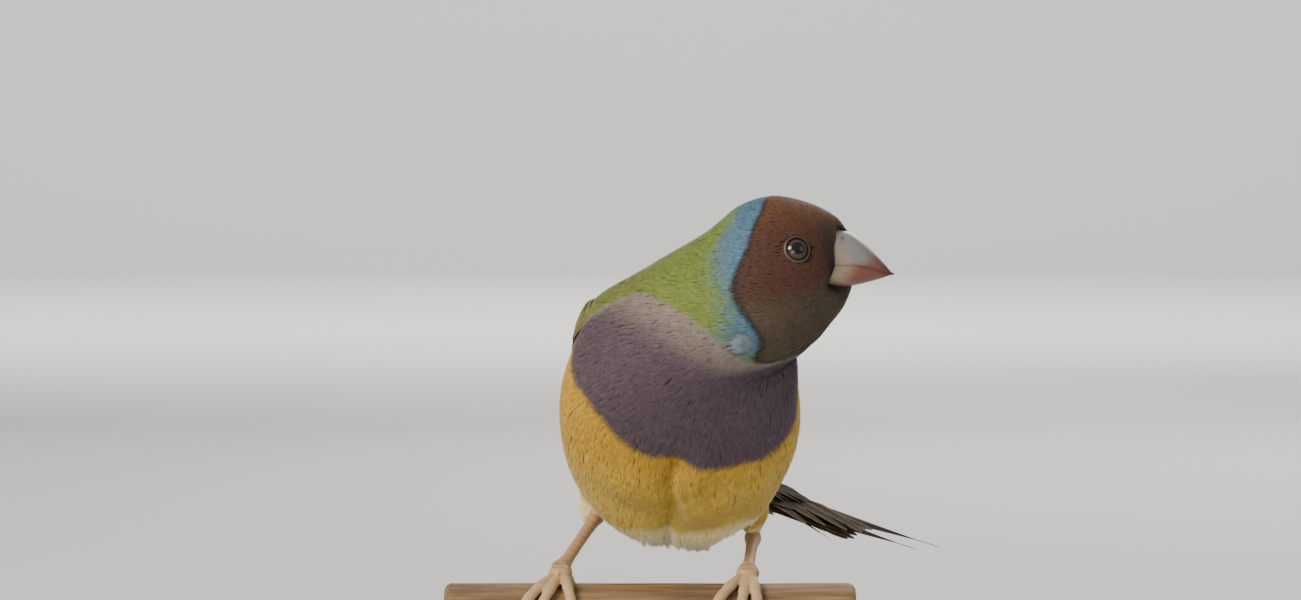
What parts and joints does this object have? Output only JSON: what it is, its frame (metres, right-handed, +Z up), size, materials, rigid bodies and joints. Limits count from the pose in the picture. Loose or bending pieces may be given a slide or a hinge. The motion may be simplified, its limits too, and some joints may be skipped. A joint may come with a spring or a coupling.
{
  "type": "gouldian finch model on a stand",
  "caption": "Life-size standing songbird with a short thick bill, a head turned to its left, folded wings and a long pointed tail, gripping a round perch on a flat base.",
  "frame": {"origin": "centre of the underside of the stand's base, on the floor", "axes": "+Z up, -Y the way the breast faces, +X the way the bill points, which is the bird's left"},
  "size_m": [0.096, 0.1044, 0.0948],
  "materials": {
    "red_plumage": "dull red face feathers with a dark throat",
    "green_plumage": "yellow-green neck feathers with a pale blue band",
    "purple_plumage": "purple breast feathers over a golden yellow belly",
    "dark_plumage": "brown-black flight feathers",
    "olive_plumage": "olive green wing feathers",
    "cream_plumage": "cream down",
    "bill": "pale horn with a coral tip",
    "leg_skin": "pinkish scaly skin",
    "claw": "brown horn",
    "eye": "wet dark brown",
    "perch_wood": "bare brown wood",
    "base_wood": "dark polished wood",
    "rod_brass": "polished brass"
  },
  "bodies": {
    "root": {"bill_lower": "bill", "bill_upper": "bill", "claw_left_a": "claw", "claw_left_b": "claw", "claw_left_c": "claw", "claw_left_d": "claw", "claw_right_a": "claw", "claw_right_b": "claw", "claw_right_c": "claw", "claw_right_d": "claw", "eye_left": "eye", "eye_right": "eye", "foot_left": "leg_skin", "foot_right": "leg_skin", "head": "red_plumage", "leg_left": "leg_skin", "leg_right": "leg_skin", "neck": "green_plumage", "stand_base": "base_wood", "stand_perch": "perch_wood", "stand_rod_left": "rod_brass", "stand_rod_right": "rod_brass", "tail": "dark_plumage", "thigh_left": "cream_plumage", "thigh_right": "cream_plumage", "torso": "purple_plumage", "wing_left": "olive_plumage", "wing_right": "olive_plumage"}
  },
  "joints": []
}
